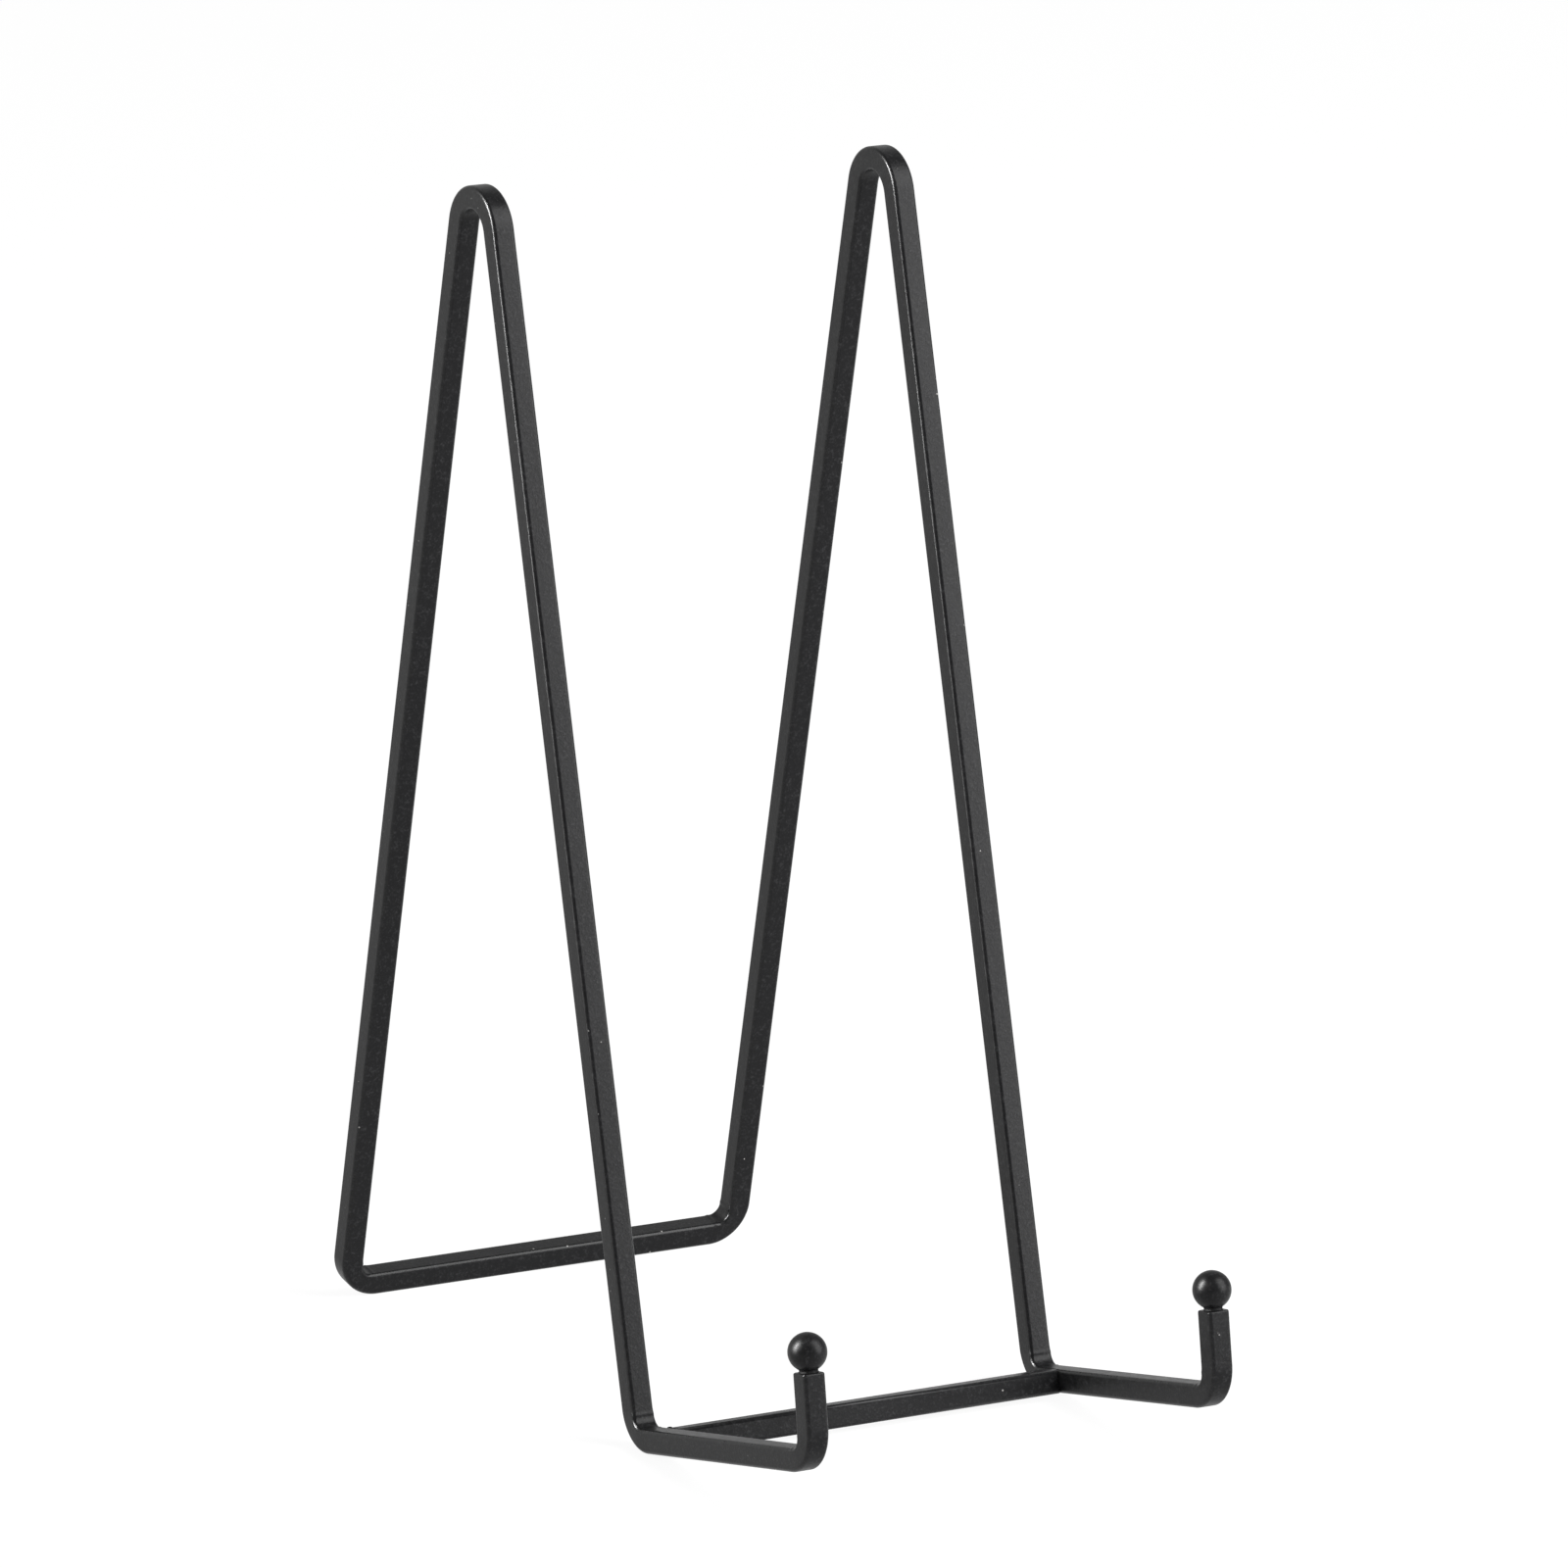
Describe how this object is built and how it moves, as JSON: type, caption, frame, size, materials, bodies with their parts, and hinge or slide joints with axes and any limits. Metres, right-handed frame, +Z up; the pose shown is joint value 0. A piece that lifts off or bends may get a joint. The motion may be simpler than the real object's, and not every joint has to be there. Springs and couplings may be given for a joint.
{
  "type": "plate display stand",
  "caption": "Free-standing display stand of bent square bar: A-shaped sides joined by a rear crossbar and a front crossbar, with raised feet and ball-tipped lips for a plate.",
  "frame": {"origin": "on the floor, under the middle of the stand's overall width and depth", "axes": "+X across the stand towards its right side, seen from the front; +Y from the lips to the rear; +Z up"},
  "size_m": [0.1024, 0.2036, 0.25],
  "materials": {
    "powder_coated_steel": "satin black powder coat with a faint orange-peel texture"
  },
  "bodies": {
    "root": {"frame_bar": "powder_coated_steel", "front_crossbar": "powder_coated_steel", "left_crossbar_weld": "powder_coated_steel", "right_crossbar_weld": "powder_coated_steel", "left_ball": "powder_coated_steel", "right_ball": "powder_coated_steel", "left_ball_weld": "powder_coated_steel", "right_ball_weld": "powder_coated_steel"}
  },
  "joints": []
}
